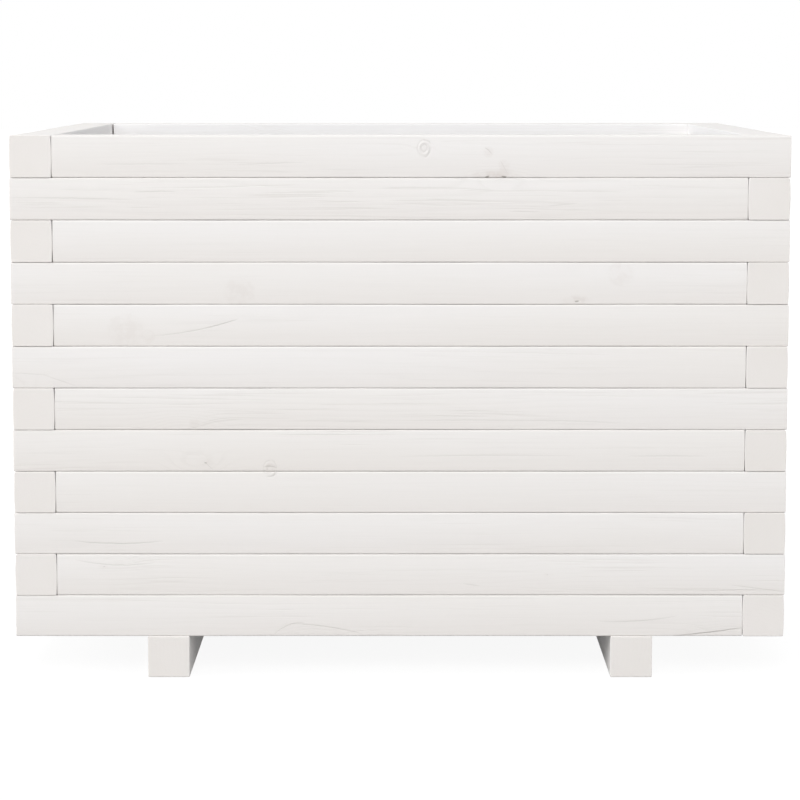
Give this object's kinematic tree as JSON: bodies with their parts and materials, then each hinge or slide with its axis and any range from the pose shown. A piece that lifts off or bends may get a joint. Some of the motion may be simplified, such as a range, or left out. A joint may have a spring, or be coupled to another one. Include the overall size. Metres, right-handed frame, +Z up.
{
  "type": "wooden planter",
  "caption": "Rectangular floor planter of stacked square timber slats lapped alternately at the corners, with a gapped floor, inner corner posts and runner feet.",
  "frame": {"origin": "on the ground, under the middle of the box", "axes": "+X to the right along the front wall, +Y to the back, +Z up"},
  "size_m": [0.7, 0.5, 0.494],
  "materials": {
    "slat_timber": "white-stained planed pine, matt, with faint grain and knots",
    "runner_timber": "white-stained planed pine, matt",
    "floor_timber": "white-stained planed pine board, matt",
    "post_timber": "white-stained planed pine batten, matt",
    "screw_steel": "zinc-plated steel"
  },
  "bodies": {
    "root": {"back_left_post": "post_timber", "back_right_post": "post_timber", "back_slat_01": "slat_timber", "back_slat_02": "slat_timber", "back_slat_03": "slat_timber", "back_slat_04": "slat_timber", "back_slat_05": "slat_timber", "back_slat_06": "slat_timber", "back_slat_07": "slat_timber", "back_slat_08": "slat_timber", "back_slat_09": "slat_timber", "back_slat_10": "slat_timber", "back_slat_11": "slat_timber", "back_slat_12": "slat_timber", "floor_board_1": "floor_timber", "floor_board_2": "floor_timber", "floor_board_3": "floor_timber", "floor_screws": "screw_steel", "front_left_post": "post_timber", "front_right_post": "post_timber", "front_slat_01": "slat_timber", "front_slat_02": "slat_timber", "front_slat_03": "slat_timber", "front_slat_04": "slat_timber", "front_slat_05": "slat_timber", "front_slat_06": "slat_timber", "front_slat_07": "slat_timber", "front_slat_08": "slat_timber", "front_slat_09": "slat_timber", "front_slat_10": "slat_timber", "front_slat_11": "slat_timber", "front_slat_12": "slat_timber", "left_runner": "runner_timber", "left_slat_01": "slat_timber", "left_slat_02": "slat_timber", "left_slat_03": "slat_timber", "left_slat_04": "slat_timber", "left_slat_05": "slat_timber", "left_slat_06": "slat_timber", "left_slat_07": "slat_timber", "left_slat_08": "slat_timber", "left_slat_09": "slat_timber", "left_slat_10": "slat_timber", "left_slat_11": "slat_timber", "left_slat_12": "slat_timber", "post_screws": "screw_steel", "right_runner": "runner_timber", "right_slat_01": "slat_timber", "right_slat_02": "slat_timber", "right_slat_03": "slat_timber", "right_slat_04": "slat_timber", "right_slat_05": "slat_timber", "right_slat_06": "slat_timber", "right_slat_07": "slat_timber", "right_slat_08": "slat_timber", "right_slat_09": "slat_timber", "right_slat_10": "slat_timber", "right_slat_11": "slat_timber", "right_slat_12": "slat_timber", "runner_screws": "screw_steel"}
  },
  "joints": []
}
